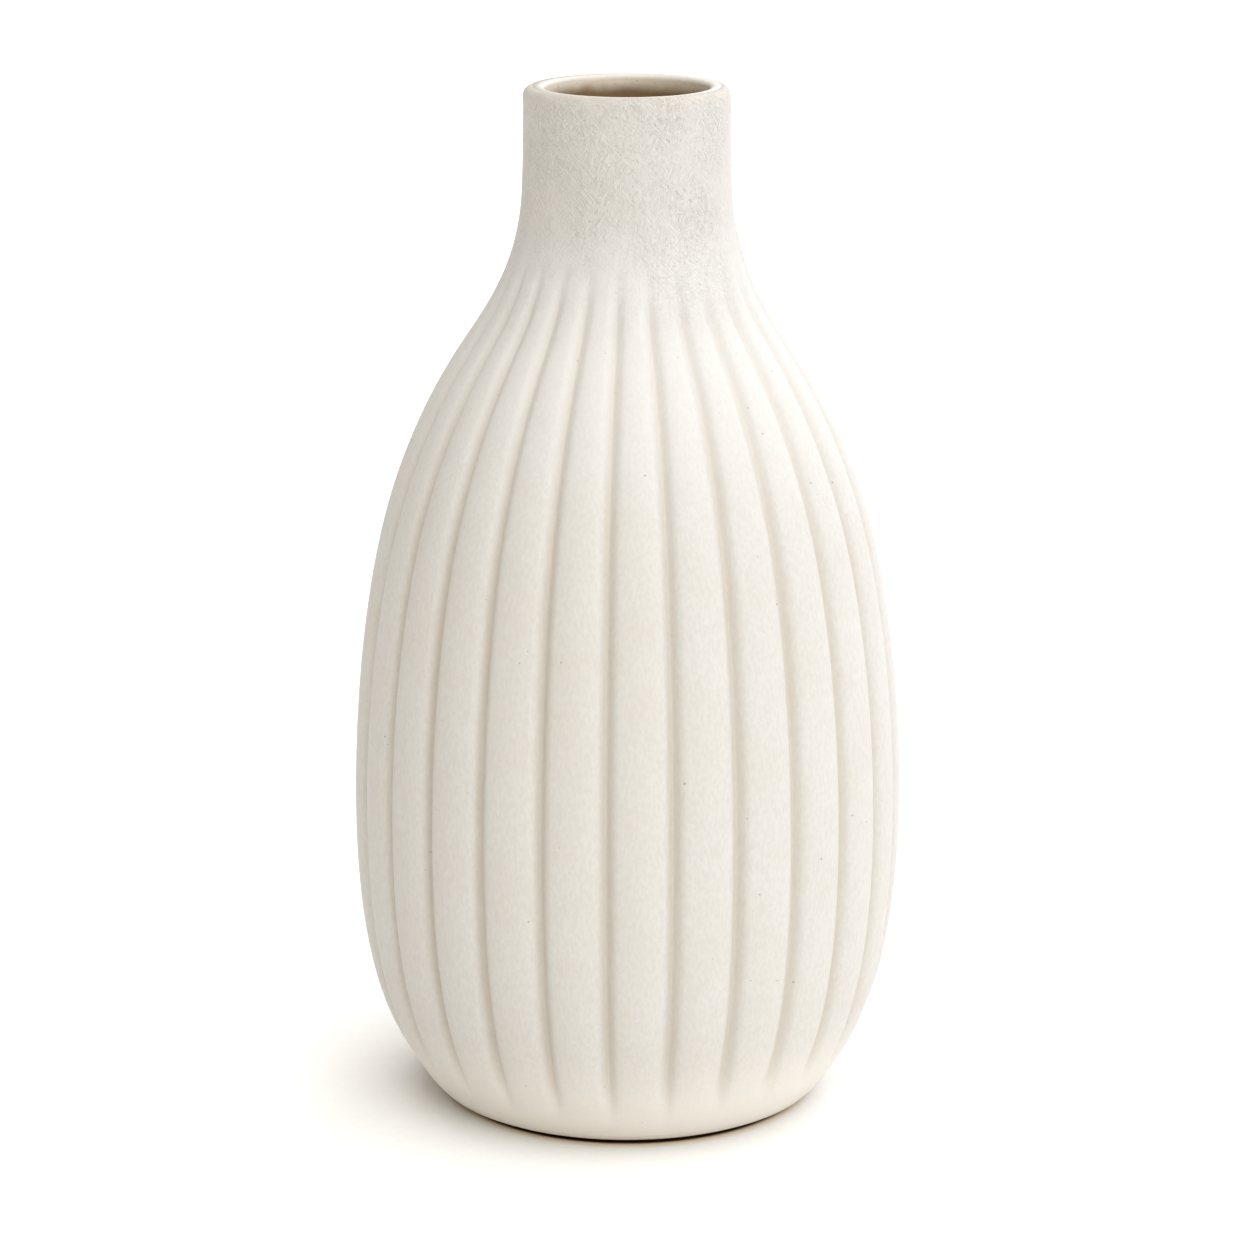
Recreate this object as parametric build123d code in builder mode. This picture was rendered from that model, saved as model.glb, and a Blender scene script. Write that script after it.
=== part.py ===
"""Ribbed stoneware bud vase: a slip-cast body, the glaze that lines it, and four pads under its foot.

Millimetres. The origin is on the floor at the centre of the foot, +Z is up, and the middle of one rib faces -Y.
The body and the glaze are round about Z apart from the ribs, and the pads stand at 45 degrees to X and Y.
"""

import os
from math import cos, exp, pi, sin

from build123d import *

# Overall form
height = 200.0  # floor to the crown of the lip
neck_radius = 20.15  # outside, where the straight neck leaves the shoulder
neck_start = 180.0
belly_radius = 53.9
belly_height = 61.0

# Walls
wall = 4.4  # from the crests to the bare inside, square to the surface
floor_thickness = 6.5
floor_flat_radius = 26.0  # the inside floor is flat to here, then sweeps up into the wall
glaze = 0.3
bore_radius = 15.8  # inside the glazed neck
bore_start = 178.0  # the neck is straight inside from here up

# Lip
lip_radius = 19.8  # outside, a little less than where the neck starts
lip_outer_round = 1.8
lip_inner_round = 0.9

# Ribs
rib_count = 26
rib_depth = 2.4  # crest to groove at the belly
rib_swell = 0.52  # share of the depth in the broad round of the rib, the rest is in the groove
swell_power = 2
groove_half_width = 1.2
groove_power = 3  # 2 for a soft valley, more for steep sides and a round bottom
ribs_begin, ribs_full_low = 5.0, 16.0  # heights where the grooves rise out of the foot
ribs_full_high, ribs_end = 157.0, 171.0  # heights where they fade into the neck

# Pads
pad_count = 4
pad_thickness = 0.5
pad_radius = 4.0
pad_circle_radius = 31.6

# Foot
foot_radius = 36.4  # the flat that the pads are stuck to, out to its rounded edge
foot_recess_radius = 27.0
foot_recess = 2.0
foot_recess_round = 0.8

foot_bottom = pad_thickness
floor_top = foot_bottom + floor_thickness
half_rib = pi / rib_count

# The crests in outline, (radius, height) from the edge of the foot up to the neck
outline_points = [
    (foot_radius, foot_bottom),
    (37.8, 1.1),
    (41.2, 5.0),
    (45.6, 12.0),
    (50.2, 24.0),
    (53.0, 40.0),
    (belly_radius, belly_height),
    (53.1, 80.0),
    (50.7, 100.0),
    (46.2, 120.0),
    (40.0, 136.0),
    (33.4, 148.0),
    (26.9, 158.0),
    (22.3, 168.0),
    (neck_radius, neck_start),
]
foot_direction = (1, 0)
neck_direction = (-0.045, 1)

# How finely the ribbed surface and the inside are drawn
ring_count = 30
steps_per_half_rib = 9
step_crowding = 1.8  # over 1 sets the steps closer together towards the grooves
inside_shares = [0.10 + 0.083 * step for step in range(11)]  # along the outline, foot to neck


def fade(value, start, end):
    """0 at start and before it, 1 at end and past it, smooth between."""
    share = min(max((value - start) / (end - start), 0), 1)
    return share * share * (3 - 2 * share)


def rib_offset(across, radius):
    """How far the surface is in from the crest, from 0 on a crest to 1 in a groove, as a share of the depth."""
    from_groove = (1 - across) * half_rib * radius
    broad = rib_swell * across**swell_power
    return broad + (1 - rib_swell) * exp(-((from_groove / groove_half_width) ** groove_power))


def groove_depth(radius, z):
    """Depth of the grooves at a height: in proportion to the girth, and gone at the foot and the neck."""
    ends = fade(z, ribs_begin, ribs_full_low) * fade(z, ribs_end, ribs_full_high)
    return rib_depth * radius / belly_radius * ends


def rib_edge(radius, depth):
    """The outline in plan of half a rib, from the crest that faces -Y to the groove on its +X side."""
    rising = [(step / steps_per_half_rib) ** step_crowding for step in range(steps_per_half_rib + 1)]
    across = [1 - rise for rise in rising[::-1]]
    points = []
    for share in across:
        angle = share * half_rib
        r = radius - depth * rib_offset(share, radius)
        points.append(Vector(r * sin(angle), -r * cos(angle)))
    ends = [Vector(1, 0), Vector(cos(half_rib), sin(half_rib))]
    return Edge.make_spline(points, tangents=ends, parameters=across)


with BuildLine() as outline:
    crest = Spline(
        *outline_points, tangents=[foot_direction, neck_direction], tangent_scalars=[1, 1]
    )


def inside_line(gap):
    """The inside in outline, this far off the bare wall, from the axis out over the floor and up to the lip."""
    floor_z = floor_top + gap
    bore = bore_radius + glaze - gap
    floor_line = Line((0, floor_z), (floor_flat_radius, floor_z))
    points = []
    for share in inside_shares:
        here, along = crest @ share, crest % share
        points.append((here.X - (wall + gap) * along.Y, here.Y + (wall + gap) * along.X))
    side = Spline(
        floor_line @ 1, *points, (bore, bore_start), tangents=[(1, 0), (0, 1)], tangent_scalars=[1, 1]
    )
    return Line(side @ 1, (bore, height - lip_inner_round))


crown_in = bore_radius + lip_inner_round
crown_out = lip_radius - lip_outer_round
crown_z = height - glaze  # top of the bare body under the glaze

# Half a rib, as a wedge from the axis out to its ribbed face, from the foot up to the neck
with BuildPart() as rib_wedge:
    for ring in range(ring_count + 1):
        station = crest @ ((1 - cos(pi * ring / ring_count)) / 2)
        edge = rib_edge(station.X, groove_depth(station.X, station.Y))
        with BuildSketch(Plane.XY.offset(station.Y)):
            with BuildLine():
                add(edge)
                Polyline(edge @ 1, (0, 0), edge @ 0)
            make_face()
    loft()

# The round surfaces in outline: the inside with the lip and the neck, and the underside of the foot
with BuildLine(Plane.XZ) as inside_outline:
    neck_line = inside_line(0)
    RadiusArc(neck_line @ 1, (crown_in, crown_z), lip_inner_round - glaze)
    Polyline((crown_in, crown_z), (crown_out, crown_z), (crown_out, height))
    RadiusArc((crown_out, height), (lip_radius, height - lip_outer_round), lip_outer_round)
    Spline(
        (neck_radius, neck_start),
        (lip_radius, height - lip_outer_round),
        tangents=[neck_direction, (0, 1)],
        tangent_scalars=[1, 1],
    )
with BuildLine(Plane.XZ) as foot_outline:
    FilletPolyline(
        (foot_radius, foot_bottom),
        (foot_recess_radius, foot_bottom),
        (foot_recess_radius, foot_bottom + foot_recess),
        (0, foot_bottom + foot_recess),
        radius=foot_recess_round,
    )

# The whole skin of the body between two grooves, which repeats around the vase
rib_face = rib_wedge.faces().sort_by(Axis.Y)[0]
sector = [rib_face, rib_face.mirror(Plane.YZ)]
for round_outline in (inside_outline, foot_outline):
    sector += Shell.revolve(round_outline.wire(), 360 / rib_count, Axis.Z).faces()

with BuildPart() as vase_body:
    skins = [face.moved(place) for place in PolarLocations(0, rib_count) for face in sector]
    add(Solid(Shell(skins)))
vase_body.part.label = "vase_body"

with BuildPart() as interior_glaze:
    with BuildSketch(Plane.XZ):
        with BuildLine():
            bare_line = inside_line(0)
            face_line = inside_line(glaze)
            Line((0, floor_top), (0, floor_top + glaze))
            RadiusArc(bare_line @ 1, (crown_in, crown_z), lip_inner_round - glaze)
            Polyline((crown_in, crown_z), (crown_out, crown_z), (crown_out, height), (crown_in, height))
            RadiusArc((crown_in, height), face_line @ 1, -lip_inner_round)
        make_face()
    revolve(axis=Axis.Z)
interior_glaze.part.label = "interior_glaze"

parts = {"vase_body": vase_body, "interior_glaze": interior_glaze}

for pad in range(pad_count):
    turn = 2 * pi * (pad + 0.5) / pad_count
    with BuildPart() as foot_pad:
        with BuildSketch():
            with Locations((pad_circle_radius * cos(turn), pad_circle_radius * sin(turn))):
                Circle(pad_radius)
        extrude(amount=pad_thickness)
    foot_pad.part.label = f"foot_pad_{pad + 1}"
    parts[foot_pad.part.label] = foot_pad

os.makedirs("parts", exist_ok=True)
for name, built in parts.items():
    export_step(built.part, f"parts/{name}.step")
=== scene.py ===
"""Looks for the ribbed bud vase: the stoneware body, its inside glaze and its pads, on a pale sheet."""

from math import cos, pi, radians, sin

import bpy
import numpy as np
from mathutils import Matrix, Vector


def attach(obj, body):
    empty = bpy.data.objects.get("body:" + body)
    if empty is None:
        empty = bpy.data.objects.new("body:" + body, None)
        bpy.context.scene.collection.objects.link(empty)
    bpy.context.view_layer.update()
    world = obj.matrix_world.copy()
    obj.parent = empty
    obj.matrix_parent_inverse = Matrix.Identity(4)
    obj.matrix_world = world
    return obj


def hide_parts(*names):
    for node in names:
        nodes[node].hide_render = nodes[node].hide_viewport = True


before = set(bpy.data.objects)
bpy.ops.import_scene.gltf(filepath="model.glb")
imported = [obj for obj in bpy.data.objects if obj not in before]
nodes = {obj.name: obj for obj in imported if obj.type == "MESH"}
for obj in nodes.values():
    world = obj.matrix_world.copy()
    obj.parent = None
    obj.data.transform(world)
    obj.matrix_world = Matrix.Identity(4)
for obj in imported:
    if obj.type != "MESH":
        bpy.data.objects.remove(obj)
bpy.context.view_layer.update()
MM = 0.001

# The body in outline, crests of the ribs, (radius, height) in mm from the edge of the foot up to the neck
OUTLINE = [
    (36.4, 0.5),
    (37.8, 1.1),
    (41.2, 5.0),
    (45.6, 12.0),
    (50.2, 24.0),
    (53.0, 40.0),
    (53.9, 61.0),
    (53.1, 80.0),
    (50.7, 100.0),
    (46.2, 120.0),
    (40.0, 136.0),
    (33.4, 148.0),
    (26.9, 158.0),
    (22.3, 168.0),
    (20.15, 180.0),
]
FOOT_DIRECTION, NECK_DIRECTION = (1.0, 0.0), (-0.045, 1.0)
HEIGHT, LIP_RADIUS, LIP_OUTER_ROUND, LIP_INNER_ROUND = 200.0, 19.8, 1.8, 0.9
BORE_RADIUS, BORE_START, GLAZE, WALL = 15.8, 178.0, 0.3, 4.4
FLOOR_TOP, FLOOR_FLAT_RADIUS = 7.0, 26.0
FOOT_BOTTOM, RECESS, RECESS_RADIUS, RECESS_ROUND = 0.5, 2.0, 27.0, 0.8
CROWN_OUT, CROWN_IN = LIP_RADIUS - LIP_OUTER_ROUND, BORE_RADIUS + LIP_INNER_ROUND

# Ribs
RIBS, RIB_DEPTH, SWELL, SWELL_POWER = 26, 2.4, 0.52, 2
GROOVE_HALF_WIDTH, GROOVE_POWER = 1.2, 3
RIBS_BEGIN, RIBS_FULL_LOW, RIBS_FULL_HIGH, RIBS_END = 5.0, 16.0, 157.0, 171.0
BELLY_RADIUS = 53.9

# Mesh density
COLUMNS_PER_RIB, COLUMN_CROWDING = 18, 1.6  # crowding over 1 sets the columns closer towards the grooves
ROWS_RIBBED, ROWS_NECK, ROWS_LIP, ROWS_INNER_LIP = 100, 20, 14, 6
ROWS_INSIDE_BARE, ROWS_INSIDE_GLAZED, ROWS_FLAT, ROWS_FOOT, ROWS_FOOT_ROUND = 30, 60, 8, 6, 5
STEPS_PER_SPAN = 60  # between two points of an outline
AXIS_HOLE = 1.0  # radius in mm where the rings stop short of the axis and one flat face closes them
INSIDE_SHARES = [0.10 + 0.083 * k for k in range(11)]  # along the outline, foot to neck
SHARE_STEP = 0.001  # how far ahead the direction along the outline is taken


def clamped_spline(points, start, end, count, shares=None):
    """Points along a smooth curve through the given points, evenly by length, with set end directions."""
    p = np.array(points, float)
    knots = np.concatenate([[0], np.cumsum(np.linalg.norm(np.diff(p, axis=0), axis=1))])
    step = np.diff(knots)
    slope = np.diff(p, axis=0) / step[:, None]
    matrix = np.zeros((len(p), len(p)))
    right = np.zeros_like(p)
    matrix[0, 0] = matrix[-1, -1] = 1
    right[0] = np.array(start) / np.linalg.norm(start)
    right[-1] = np.array(end) / np.linalg.norm(end)
    for k in range(1, len(p) - 1):
        matrix[k, k - 1], matrix[k, k], matrix[k, k + 1] = step[k], 2 * (step[k - 1] + step[k]), step[k - 1]
        right[k] = 3 * (step[k] * slope[k - 1] + step[k - 1] * slope[k])
    along = np.linalg.solve(matrix, right)
    fine = []
    for k in range(len(p) - 1):
        t = np.linspace(0, 1, STEPS_PER_SPAN, endpoint=k == len(p) - 2)[:, None]
        fine.append(
            (1 + 2 * t) * (1 - t) ** 2 * p[k]
            + t * (1 - t) ** 2 * step[k] * along[k]
            + t**2 * (3 - 2 * t) * p[k + 1]
            + t**2 * (t - 1) * step[k] * along[k + 1]
        )
    fine = np.concatenate(fine)
    length = np.concatenate([[0], np.cumsum(np.linalg.norm(np.diff(fine, axis=0), axis=1))])
    wanted = (np.linspace(0, 1, count) if shares is None else np.asarray(shares)) * length[-1]
    return np.stack([np.interp(wanted, length, fine[:, k]) for k in (0, 1)], axis=1)


def arc(centre, radius, start, end, count):
    """Points on an arc of an outline, angles in degrees from +r."""
    turn = np.radians(np.linspace(start, end, count))
    return np.stack([centre[0] + radius * np.cos(turn), centre[1] + radius * np.sin(turn)], axis=1)


def straight(a, b, count):
    return np.linspace(a, b, count)


def smooth_step(value, start, end):
    share = np.clip((value - start) / (end - start), 0, 1)
    return share * share * (3 - 2 * share)


def rib_offset(across, radius):
    """How far in from the crest the surface is, as a share of the depth: 0 on a crest, 1 in a groove."""
    from_groove = (1 - across) * pi / RIBS * radius
    groove = (1 - SWELL) * np.exp(-((from_groove / GROOVE_HALF_WIDTH) ** GROOVE_POWER))
    return SWELL * across**SWELL_POWER + groove


def inside_outline(gap, rows):
    """The inside at a gap off the bare wall, from the middle of the floor up to the start of the lip."""
    near = clamped_spline(OUTLINE, FOOT_DIRECTION, NECK_DIRECTION, 0, INSIDE_SHARES)
    shares_ahead = [share + SHARE_STEP for share in INSIDE_SHARES]
    ahead = clamped_spline(OUTLINE, FOOT_DIRECTION, NECK_DIRECTION, 0, shares_ahead)
    along = (ahead - near) / np.linalg.norm(ahead - near, axis=1)[:, None]
    wall_points = near + (WALL + gap) * np.stack([-along[:, 1], along[:, 0]], axis=1)
    bore = BORE_RADIUS + GLAZE - gap
    floor = FLOOR_TOP + gap
    through = [(FLOOR_FLAT_RADIUS, floor), *map(tuple, wall_points), (bore, BORE_START)]
    rise = clamped_spline(through, (1, 0), (0, 1), rows)
    return np.concatenate(
        [
            straight((AXIS_HOLE, floor), (FLOOR_FLAT_RADIUS, floor), ROWS_FLAT)[:-1],
            rise,
            straight((bore, BORE_START), (bore, HEIGHT - LIP_INNER_ROUND), ROWS_FLAT)[1:],
        ]
    )


def grid_piece(name, radii, heights):
    """A closed shell of rings: radii and heights have one row per ring and one column per direction."""
    rows, columns = radii.shape
    turn = COLUMN_TURNS[None, :]
    xyz = np.stack([radii * np.sin(turn), -radii * np.cos(turn), heights], axis=2).reshape(-1, 3) * MM
    index = np.arange(rows * columns).reshape(rows, columns)
    following = np.roll(index, -1, axis=1)
    quads = np.stack([index[:-1], following[:-1], following[1:], index[1:]], axis=2).reshape(-1, 4)
    faces = quads.tolist() + [index[0, ::-1].tolist(), index[-1].tolist()]
    mesh = bpy.data.meshes.new(name)
    mesh.from_pydata(xyz.tolist(), [], faces)
    mesh.polygons.foreach_set("use_smooth", [True] * len(mesh.polygons))
    mesh.update()
    piece = bpy.data.objects.new(name, mesh)
    bpy.context.scene.collection.objects.link(piece)
    return piece


rising = (np.arange(COLUMNS_PER_RIB // 2) / (COLUMNS_PER_RIB // 2)) ** COLUMN_CROWDING
ACROSS = np.concatenate([rising - 1, [0], 1 - rising[:0:-1]])
COLUMN_RIB = np.repeat(np.arange(RIBS), len(ACROSS))
COLUMN_ACROSS = np.tile(ACROSS, RIBS)
COLUMN_TURNS = 2 * pi * (COLUMN_RIB + COLUMN_ACROSS / 2) / RIBS


def body_piece():
    """The stoneware body: underside, ribbed outside, neck, lip, and the bare inside under the glaze."""
    recess_top, ring_edge = FOOT_BOTTOM + RECESS, RECESS_RADIUS - RECESS_ROUND
    ring_start, foot_radius = RECESS_RADIUS + RECESS_ROUND, OUTLINE[0][0]
    under = np.concatenate(
        [
            straight((AXIS_HOLE, recess_top), (ring_edge, recess_top), ROWS_FOOT)[:-1],
            arc((ring_edge, recess_top - RECESS_ROUND), RECESS_ROUND, 90, 0, ROWS_FOOT_ROUND),
            arc((ring_start, FOOT_BOTTOM + RECESS_ROUND), RECESS_ROUND, 180, 270, ROWS_FOOT_ROUND),
            straight((ring_start, FOOT_BOTTOM), (foot_radius, FOOT_BOTTOM), ROWS_FOOT)[1:-1],
        ]
    )
    shares = np.linspace(0, 1, ROWS_RIBBED)
    ribbed = clamped_spline(OUTLINE, FOOT_DIRECTION, NECK_DIRECTION, 0, shares)
    neck_top = (LIP_RADIUS, HEIGHT - LIP_OUTER_ROUND)
    neck = clamped_spline([OUTLINE[-1], neck_top], NECK_DIRECTION, (0, 1), ROWS_NECK)[1:]
    lip = arc((CROWN_OUT, HEIGHT - LIP_OUTER_ROUND), LIP_OUTER_ROUND, 0, 90, ROWS_LIP)[1:]
    inner_centre = (CROWN_IN, HEIGHT - LIP_INNER_ROUND)
    inner_lip = arc(inner_centre, LIP_INNER_ROUND - GLAZE, 90, 180, ROWS_INNER_LIP)
    step_down = np.array([(CROWN_OUT, HEIGHT - GLAZE)])
    inside = inside_outline(0, ROWS_INSIDE_BARE)[::-1]
    outline = np.concatenate([under, ribbed, neck, lip, step_down, inner_lip, inside[1:]])
    radii = np.repeat(outline[:, :1], len(COLUMN_TURNS), axis=1)
    heights = np.repeat(outline[:, 1:], len(COLUMN_TURNS), axis=1)
    first, last = len(under), len(under) + len(ribbed)
    r, z = radii[first:last], heights[first:last]
    ends = smooth_step(z, RIBS_BEGIN, RIBS_FULL_LOW) * smooth_step(z, RIBS_END, RIBS_FULL_HIGH)
    depth = RIB_DEPTH * r / BELLY_RADIUS * ends
    across = np.abs(COLUMN_ACROSS)[None, :]
    radii[first:last] = r - depth * rib_offset(across, r)
    piece = grid_piece("stoneware_body", radii, heights)
    groove = np.zeros(radii.shape)
    groove[first:last] = ends * rib_offset(across, r)
    layer = piece.data.attributes.new("groove", "FLOAT", "POINT")
    layer.data.foreach_set("value", groove.reshape(-1))
    return piece


def glaze_piece():
    """The fused glaze on the inside and over the crown of the lip, as a thin closed shell."""
    inner_centre = (CROWN_IN, HEIGHT - LIP_INNER_ROUND)
    outer = inside_outline(0, ROWS_INSIDE_GLAZED)
    outer_lip = arc(inner_centre, LIP_INNER_ROUND - GLAZE, 180, 90, ROWS_INNER_LIP)[1:]
    crown = np.array([(CROWN_OUT, HEIGHT - GLAZE), (CROWN_OUT, HEIGHT)])
    face_lip = arc(inner_centre, LIP_INNER_ROUND, 90, 180, ROWS_LIP)
    face = inside_outline(GLAZE, ROWS_INSIDE_GLAZED)[::-1][1:]
    outline = np.concatenate([outer, outer_lip, crown, face_lip, face])
    radii = np.repeat(outline[:, :1], len(COLUMN_TURNS), axis=1)
    heights = np.repeat(outline[:, 1:], len(COLUMN_TURNS), axis=1)
    return grid_piece("inside_glaze", radii, heights)


PIT_FLOOR = 0.5  # share of a pit's radius that is flat


class Nodes:
    """A material with its Principled shader, and short ways to add the nodes that feed it."""

    def __init__(self, name):
        self.material = bpy.data.materials.new(name)
        self.material.use_nodes = True
        self.tree = self.material.node_tree
        self.shader = self.tree.nodes["Principled BSDF"]
        self.place = self.add("TexCoord").outputs["Object"]

    def add(self, kind, **settings):
        made = self.tree.nodes.new("ShaderNode" + kind)
        for key, value in settings.items():
            setattr(made, key, value)
        return made

    def put(self, socket, value):
        """Feed a socket from another socket, or set it to a constant."""
        if isinstance(value, bpy.types.NodeSocket):
            self.tree.links.new(value, socket)
        else:
            socket.default_value = value

    def math(self, operation, *values):
        made = self.add("Math", operation=operation)
        for socket, value in zip(made.inputs, values):
            self.put(socket, value)
        return made.outputs[0]

    def remap(self, value, low, high, to_low=0.0, to_high=1.0):
        """A smooth step of a value from one range to another, clamped."""
        made = self.add("MapRange", interpolation_type="SMOOTHSTEP")
        for socket, given in zip(made.inputs, (value, low, high, to_low, to_high)):
            self.put(socket, given)
        return made.outputs[0]

    def height(self):
        """Height above the floor in mm."""
        split = self.add("SeparateXYZ")
        self.put(split.inputs[0], self.place)
        return self.math("DIVIDE", split.outputs["Z"], MM)

    def stretched(self, size, turn_per_mm=0.0):
        """The place in units of a grain (across, across, along Z, in mm), wound round Z if asked."""
        turned = self.place
        if turn_per_mm:
            twist = self.add("VectorRotate", rotation_type="Z_AXIS")
            self.put(twist.inputs["Vector"], self.place)
            self.put(twist.inputs["Angle"], self.math("MULTIPLY", self.height(), turn_per_mm))
            turned = twist.outputs[0]
        scaled = self.add("VectorMath", operation="MULTIPLY")
        self.put(scaled.inputs[0], turned)
        scaled.inputs[1].default_value = [1 / (side * MM) for side in size]
        return scaled.outputs[0]

    def noise(self, size, detail, turn_per_mm=0.0, distortion=0.0):
        made = self.add("TexNoise")
        self.put(made.inputs["Vector"], self.stretched(size, turn_per_mm))
        made.inputs["Scale"].default_value = 1.0
        made.inputs["Detail"].default_value = detail
        made.inputs["Distortion"].default_value = distortion
        return made.outputs[0]

    def patches(self, size, detail, start, full, most=1.0, distortion=0.0):
        """Soft patches: 0 where a noise is under one level, rising to the most where it is over another."""
        return self.remap(self.noise(size, detail, distortion=distortion), start, full, 0.0, most)

    def waver(self, size, detail, swing):
        """A value that wanders about zero."""
        return self.math("MULTIPLY", self.math("SUBTRACT", self.noise(size, detail), 0.5), swing)

    def mix(self, share, low, high):
        made = self.add("Mix", data_type="RGBA")
        self.put(made.inputs[0], share)
        for socket, color in ((made.inputs[6], low), (made.inputs[7], high)):
            self.put(socket, (*color, 1) if isinstance(color, tuple) else color)
        return made.outputs[2]

    def pits(self, spacing, radius, share):
        """1 in small round pits, one in some of the cells of this spacing in mm, 0 between them."""
        made = self.add("TexVoronoi")
        self.put(made.inputs["Vector"], self.stretched((spacing,) * 3))
        made.inputs["Scale"].default_value = 1.0
        split = self.add("SeparateColor")
        self.put(split.inputs[0], made.outputs["Color"])
        chosen = self.math("LESS_THAN", split.outputs[0], share)
        width = self.math("MULTIPLY", split.outputs[1], radius / spacing)
        dip = self.remap(self.math("DIVIDE", made.outputs["Distance"], width), PIT_FLOOR, 1.0, 1.0, 0.0)
        return self.math("MULTIPLY", dip, chosen)

    def bump(self, height, distance):
        made = self.add("Bump")
        self.put(made.inputs["Height"], height)
        made.inputs["Distance"].default_value = distance * MM
        made.inputs["Strength"].default_value = 1.0
        self.put(self.shader.inputs["Normal"], made.outputs[0])


def stoneware_material():
    """Ivory matt stoneware: crinkled slip, fine grain, faint mottling, scattered pits, with painted shade in
    the grooves and at the foot edge and painted light on the shoulder and above the foot.
    """
    m = Nodes("stoneware")
    height = m.height()
    groove = m.add("Attribute", attribute_name="groove").outputs["Fac"]
    color = m.mix(m.patches(**CLOUDS), CREAM, IVORY)
    color = m.mix(m.patches(**BLUSHES), color, BLUSH)
    color = m.mix(m.math("MULTIPLY", m.patches(**CLAY_GRAIN), GRAIN_SHARE), color, GRAIN)
    in_groove = m.math("ADD", groove, m.waver(**GROOVE_RAGGED))
    # Painted shade: warm and darker down in the grooves, as light bounced between the ribs.
    color = m.mix(m.remap(in_groove, *GROOVE_PAINTED_SHADE_RISE), color, GROOVE_PAINTED_SHADE)
    # Painted light: the upper shoulder made paler, as where the light from above falls on it.
    color = m.mix(m.remap(height, *SHOULDER_PAINTED_LIGHT_RISE), color, SHOULDER_PAINTED_LIGHT)
    color = m.mix(m.remap(height, *NECK_RISE), color, NECK_GREY)
    # Painted light: paler towards the foot, as the light bounced up from the bright sheet.
    color = m.mix(m.remap(height, *FOOT_PAINTED_BOUNCE_LIGHT_RISE), color, FOOT_PAINTED_BOUNCE_LIGHT)
    # Painted shade: the bottom edge of the foot made near black, as the shaded gap under it.
    color = m.mix(m.remap(height, *FOOT_EDGE_PAINTED_SHADE_RISE), color, FOOT_EDGE_PAINTED_SHADE)
    worn = m.math("ADD", height, m.waver(**LIP_WORN))
    color = m.mix(m.remap(worn, *LIP_TAN_RISE), color, LIP_TAN)
    pits = m.math("MAXIMUM", m.pits(*LARGE_PITS), m.pits(*SMALL_PITS))
    color = m.mix(m.math("MULTIPLY", pits, PIT_SHARE), color, PIT)
    m.put(m.shader.inputs["Base Color"], color)
    m.shader.inputs["Roughness"].default_value = 0.6
    m.shader.inputs["Specular IOR Level"].default_value = 0.35

    uneven = m.remap(m.noise(*CRINKLE_PATCH), *CRINKLE_PATCH_RISE)
    where = m.math("MULTIPLY", uneven, m.remap(height, *CRINKLE_RISE))
    strokes = []
    for turn in CRINKLE_TURNS:
        lines = m.noise(*CRINKLE_STROKE, turn_per_mm=turn, distortion=CRINKLE_DISTORTION)
        off_line = m.math("ABSOLUTE", m.math("SUBTRACT", lines, 0.5))
        strokes.append(m.remap(off_line, 0.0, CRINKLE_STROKE_WIDTH, 1.0, 0.0))
    crinkle = m.math("MULTIPLY", m.math("MAXIMUM", *strokes), where)
    sandy = m.math("MULTIPLY", m.noise(*SANDY), SANDY_SHARE)
    rise = m.math("SUBTRACT", m.math("ADD", crinkle, sandy), m.math("MULTIPLY", pits, PIT_DEPTH))
    m.bump(rise, STONEWARE_BUMP)
    return m.material


def glaze_material():
    """Clear satin glaze over the clay: ivory over the lip, and brown deeper inside the neck, partly the
    glaze's own colour and partly painted shade.
    """
    m = Nodes("glaze")
    uneven = m.math("MULTIPLY", m.waver(**GLAZE_UNEVEN), m.remap(m.height(), *GLAZE_UNEVEN_RISE))
    level = m.math("ADD", m.height(), uneven)
    color = m.mix(m.remap(level, *GLAZE_NECK_RISE), GLAZE_LIP, GLAZE_NECK)
    # Partly the glaze's brown, partly painted shade: darker and browner deeper inside the neck.
    color = m.mix(m.remap(level, *GLAZE_BROWN_AND_PAINTED_SHADE_RISE), color, GLAZE_BROWN_AND_PAINTED_SHADE)
    color = m.mix(m.patches(**GLAZE_SPECKLE), color, PIT)
    m.put(m.shader.inputs["Base Color"], color)
    m.put(m.shader.inputs["Roughness"], m.remap(level, *GLAZE_ROUGHNESS_RISE))
    m.shader.inputs["Specular IOR Level"].default_value = 0.5
    m.bump(m.noise(*GLAZE_RIPPLE), GLAZE_BUMP)
    return m.material


def rubber_material():
    """Dark grey adhesive pads with a fine moulded grain and a little dust."""
    m = Nodes("pad_rubber")
    dust = m.patches(**PAD_DUST)
    m.put(m.shader.inputs["Base Color"], m.mix(dust, PAD_DARK, PAD_DUSTY))
    m.put(m.shader.inputs["Roughness"], m.remap(dust, *PAD_ROUGHNESS_RISE))
    m.bump(m.noise(*PAD_GRAIN), PAD_BUMP)
    return m.material


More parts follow.
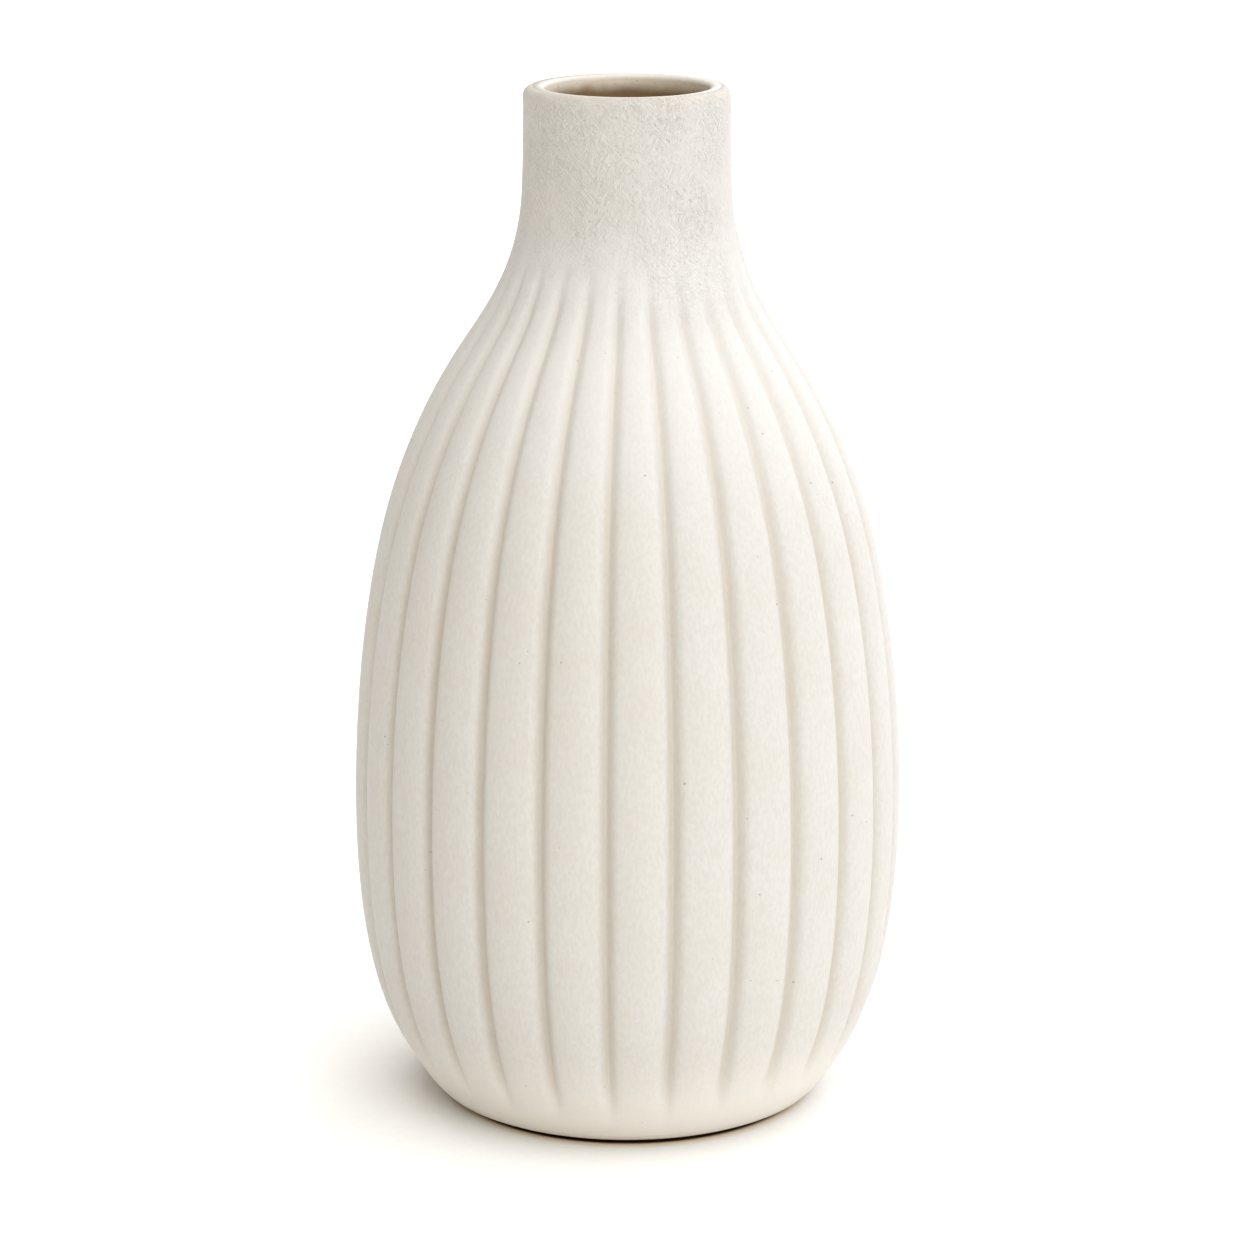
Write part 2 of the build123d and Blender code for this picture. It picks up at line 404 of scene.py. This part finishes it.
def paper_material():
    """White matt paper with painted light and shade: it glows more away from the vase, as a lit sweep does,
    and under the foot has a painted shadow with a warm painted shade around it.
    """
    m = Nodes("paper")
    sheet_white = m.mix(m.patches(**SHEET_FIBRE), SHEET_DULL, SHEET_BRIGHT)
    m.shader.inputs["Roughness"].default_value = 0.9
    m.shader.inputs["Specular IOR Level"].default_value = 0.0
    flat = m.add("VectorMath", operation="LENGTH")
    m.put(flat.inputs[0], m.place)
    away = m.math("DIVIDE", flat.outputs["Value"], MM)
    to_shadow_middle = m.add("VectorMath", operation="DISTANCE")
    m.put(to_shadow_middle.inputs[0], m.place)
    to_shadow_middle.inputs[1].default_value = (0.0, FOOT_PAINTED_SHADOW_SHIFT * MM, 0.0)
    off_shadow_middle = m.math("DIVIDE", to_shadow_middle.outputs["Value"], MM)
    # Painted shade: the sheet tinted warm brown around the foot, as the warm shadow there.
    warm_shaded = m.mix(m.remap(off_shadow_middle, *WARM_PAINTED_SHADE_EDGE), sheet_white, WARM_PAINTED_SHADE)
    # Painted shadow: the sheet made near black right under the foot.
    m.put(m.shader.inputs["Base Color"], m.mix(m.remap(off_shadow_middle, *FOOT_PAINTED_SHADOW_EDGE), warm_shaded, FOOT_PAINTED_SHADOW))
    m.shader.inputs["Emission Color"].default_value = (1.0, 1.0, 1.0, 1)
    # Painted light: the sheet glows, more the farther from the vase.
    glow = m.remap(away, *SHEET_PAINTED_GLOWS[0])
    for more in SHEET_PAINTED_GLOWS[1:]:
        glow = m.math("ADD", glow, m.remap(away, *more))
    m.put(m.shader.inputs["Emission Strength"], glow)
    return m.material


# Colours of the clay, the glaze, the pads and the sheet, as linear reflectance; some stand for painted light
# and shade, as marked below
IVORY, CREAM, BLUSH = (0.605, 0.584, 0.55), (0.598, 0.572, 0.532), (0.588, 0.549, 0.503)
# The groove colour here is painted shade, warm as light bounced between the ribs.
GRAIN, GROOVE_PAINTED_SHADE, PIT = (0.50, 0.462, 0.415), (0.53, 0.465, 0.385), (0.34, 0.25, 0.16)
# The shoulder colour is painted light from above.
SHOULDER_PAINTED_LIGHT = (0.69, 0.675, 0.66)
NECK_GREY, LIP_TAN = (0.58, 0.55, 0.512), (0.54, 0.455, 0.36)
# Above the foot the colour is painted light bounced up from the sheet; at the very edge of the foot it is
# painted shade, dark as the gap under it.
FOOT_PAINTED_BOUNCE_LIGHT, FOOT_EDGE_PAINTED_SHADE = (0.76, 0.71, 0.64), (0.045, 0.024, 0.011)
# The deep glaze colour is partly the glaze's brown and partly painted shade inside the neck.
GLAZE_LIP, GLAZE_NECK, GLAZE_BROWN_AND_PAINTED_SHADE = (0.63, 0.595, 0.54), (0.82, 0.73, 0.60), (0.25, 0.155, 0.075)
PAD_DARK, PAD_DUSTY = (0.045, 0.044, 0.043), (0.14, 0.135, 0.125)
SHEET_DULL, SHEET_BRIGHT = (0.915, 0.908, 0.893), (0.935, 0.928, 0.913)
# Under the foot the sheet has a painted shadow, with a warm painted shade around it.
FOOT_PAINTED_SHADOW, WARM_PAINTED_SHADE = (0.05, 0.028, 0.014), (0.86, 0.68, 0.48)

# Each rise goes smoothly from one value to another: (input at the first, input at the second, first, second).
# The inputs are heights in mm, except in a groove and on the pads. Two numbers alone rise from 0 to 1.
# The groove rise paints shade into the grooves.
GROOVE_PAINTED_SHADE_RISE = (0.35, 1.0, 0.0, 0.5)
SHOULDER_PAINTED_LIGHT_RISE = (112.0, 156.0, 0.0, 0.42)
NECK_RISE = (162.0, 181.0, 0.0, 0.9)
FOOT_PAINTED_BOUNCE_LIGHT_RISE = (24.0, 2.0, 0.0, 0.85)
FOOT_EDGE_PAINTED_SHADE_RISE = (0.62, 0.5)
LIP_TAN_RISE = (197.0, 202.0, 0.0, 0.3)
GLAZE_UNEVEN_RISE = (199.7, 198.6)
GLAZE_NECK_RISE, GLAZE_BROWN_AND_PAINTED_SHADE_RISE = (199.65, 199.0), (199.3, 196.4)
GLAZE_ROUGHNESS_RISE = (196.0, 199.5, 0.28, 0.48)
PAD_ROUGHNESS_RISE = (0.0, 0.6, 0.62, 0.85)

# Patches of colour: grain size in mm (across, across, along Z), and the noise where they start and are full
CLOUDS = {"size": (11, 11, 17), "detail": 4.0, "start": 0.38, "full": 0.66}
BLUSHES = {"size": (6, 6, 8), "detail": 3.0, "start": 0.52, "full": 0.74, "most": 0.6, "distortion": 0.4}
CLAY_GRAIN = {"size": (0.6, 0.6, 1.3), "detail": 4.0, "start": 0.36, "full": 0.66}
GLAZE_SPECKLE = {"size": (0.9, 0.9, 0.9), "detail": 3.0, "start": 0.60, "full": 0.74, "most": 0.4}
PAD_DUST = {"size": (2.5, 2.5, 2.5), "detail": 3.0, "start": 0.5, "full": 0.75, "most": 0.6}
SHEET_FIBRE = {"size": (1.5, 1.5, 1.5), "detail": 3.0, "start": 0.3, "full": 0.7}

# What makes the edges of the colours ragged
GROOVE_RAGGED = {"size": (1.5, 1.5, 7), "detail": 3.0, "swing": 0.4}
LIP_WORN = {"size": (5, 5, 2), "detail": 4.0, "swing": 7.0}
GLAZE_UNEVEN = {"size": (6, 6, 4), "detail": 4.0, "swing": 2.0}

# Pits: spacing in mm, largest radius in mm, and the share of places that have one
LARGE_PITS, SMALL_PITS = (3.7, 0.26, 0.5), (1.9, 0.15, 0.35)
GRAIN_SHARE, PIT_SHARE = 0.3, 0.6

# Relief: noises as (size in mm, detail), and the height in mm that a full rise stands for
CRINKLE_PATCH, CRINKLE_PATCH_RISE = ((13, 13, 20), 2.0), (0.35, 0.65, 0.5, 1.0)
CRINKLE_RISE = (146.0, 176.0, 0.04, 1.0)
CRINKLE_STROKE, CRINKLE_STROKE_WIDTH, CRINKLE_DISTORTION = ((0.55, 0.55, 1.9), 1.0), 0.10, 0.6
CRINKLE_TURNS = (0.045, -0.020)  # radians of winding per mm of height
SANDY, SANDY_SHARE = ((0.6, 0.6, 0.9), 3.0), 0.24
PIT_DEPTH, STONEWARE_BUMP = 2.0, 0.09
GLAZE_RIPPLE, GLAZE_BUMP = ((1.6, 1.6, 3.0), 3.0), 0.10
PAD_GRAIN, PAD_BUMP = ((0.3, 0.3, 0.3), 2.0), 0.02

# The painted shadow under the foot and the warm painted shade around it fade in towards their middle, in mm
# from it
FOOT_PAINTED_SHADOW_EDGE, WARM_PAINTED_SHADE_EDGE = (35.6, 34.4), (38.0, 34.6)
FOOT_PAINTED_SHADOW_SHIFT = -2.0  # the middle, in mm along Y
# Each painted glow of the sheet, light it gives off though it is no lamp, fades in from one distance in mm to
# another, from nothing to a strength
SHEET_PAINTED_GLOWS = ((36.0, 52.0, 0.0, 0.055), (66.0, 140.0, 0.0, 0.125), (500.0, 3000.0, 0.0, 0.6))

body = body_piece()
body.data.materials.append(stoneware_material())
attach(body, "root")
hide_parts("vase_body")

lining = glaze_piece()
lining.data.materials.append(glaze_material())
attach(lining, "root")
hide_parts("interior_glaze")

pad_rubber = rubber_material()
for number in range(1, 5):
    node = nodes[f"foot_pad_{number}"]
    node.data.materials.clear()
    node.data.materials.append(pad_rubber)

# Floor
SHEET_HALF = 6.0  # metres
mesh = bpy.data.meshes.new("sheet")
corners = [(x * SHEET_HALF, y * SHEET_HALF, 0) for x, y in ((-1, -1), (1, -1), (1, 1), (-1, 1))]
mesh.from_pydata(corners, [], [(0, 1, 2, 3)])
sheet = bpy.data.objects.new("sheet", mesh)
bpy.context.scene.collection.objects.link(sheet)
mesh.materials.append(paper_material())

# Camera: in front of the vase and a little above its lip, looking slightly down
CAMERA_TURN, CAMERA_DOWN = radians(-2.65), radians(14.8)
CAMERA_DISTANCE, CAMERA_HEIGHT = 0.8057, 0.3065
camera_data = bpy.data.cameras.new("camera")
camera_data.sensor_width = 36.0
camera_data.lens = 121.88
camera = bpy.data.objects.new("camera", camera_data)
camera.location = (CAMERA_DISTANCE * sin(CAMERA_TURN), -CAMERA_DISTANCE * cos(CAMERA_TURN), CAMERA_HEIGHT)
camera.rotation_euler = (pi / 2 - CAMERA_DOWN, 0, CAMERA_TURN)
bpy.context.scene.collection.objects.link(camera)
bpy.context.scene.camera = camera

LIGHT_AIM = Vector((0, 0, 0.1))


def soft_light(name, turn, rise, distance, side, power, color):
    """A square light that faces the middle of the vase, placed by angles from the camera's side."""
    data = bpy.data.lights.new(name, "AREA")
    data.shape = "RECTANGLE"
    data.size = data.size_y = side
    data.energy, data.color = power, color
    light = bpy.data.objects.new(name, data)
    around, up = CAMERA_TURN + radians(turn), radians(rise)
    out = Vector((sin(around) * cos(up), -cos(around) * cos(up), sin(up)))
    light.location = LIGHT_AIM + out * distance
    light.rotation_euler = out.to_track_quat("Z", "Y").to_euler()
    bpy.context.scene.collection.objects.link(light)


# Name, turn and rise in degrees, distance and side in metres, power in watts, colour
for light_setting in (
    ("top", 0, 88, 1.8, 1.6, 21.7, (1.0, 1.0, 1.0)),
    ("front right", 30, 25, 1.6, 1.0, 6.5, (0.90, 0.96, 1.0)),
    ("back right", 150, 25, 1.6, 1.0, 6.4, (1.0, 1.0, 1.0)),
):
    soft_light(*light_setting)

glow_from = CAMERA_TURN + radians(12)  # a little behind the vase

# The studio around: a soft glow from the right, from the camera's side and from above
GLOWS = (
    ((cos(glow_from), sin(glow_from), 0), (1.11, 1.15, 1.25)),
    ((sin(CAMERA_TURN), -cos(CAMERA_TURN), 0), (0.46, 0.428, 0.345)),
    ((0, 0, 1), (0.375, 0.355, 0.315)),
)
world = bpy.data.worlds.new("studio")
world.use_nodes = True
tree = world.node_tree
direction = tree.nodes.new("ShaderNodeTexCoord").outputs["Generated"]
glow = None
for toward, color in GLOWS:
    facing = tree.nodes.new("ShaderNodeVectorMath")
    facing.operation = "DOT_PRODUCT"
    tree.links.new(direction, facing.inputs[0])
    facing.inputs[1].default_value = toward
    lifted = tree.nodes.new("ShaderNodeMath")
    lifted.operation = "MULTIPLY_ADD"
    tree.links.new(facing.outputs["Value"], lifted.inputs[0])
    lifted.inputs[1].default_value = lifted.inputs[2].default_value = 0.5
    square = tree.nodes.new("ShaderNodeMath")
    square.operation = "POWER"
    tree.links.new(lifted.outputs[0], square.inputs[0])
    square.inputs[1].default_value = 2.0
    term = tree.nodes.new("ShaderNodeVectorMath")
    term.operation = "SCALE"
    term.inputs[0].default_value = color
    tree.links.new(square.outputs[0], term.inputs["Scale"])
    total = tree.nodes.new("ShaderNodeVectorMath")
    total.operation = "ADD"
    tree.links.new(term.outputs[0], total.inputs[0])
    if glow:
        tree.links.new(glow, total.inputs[1])
    glow = total.outputs[0]
tree.links.new(glow, tree.nodes["Background"].inputs["Color"])
bpy.context.scene.world = world
bpy.context.scene.view_settings.view_transform = "Standard"
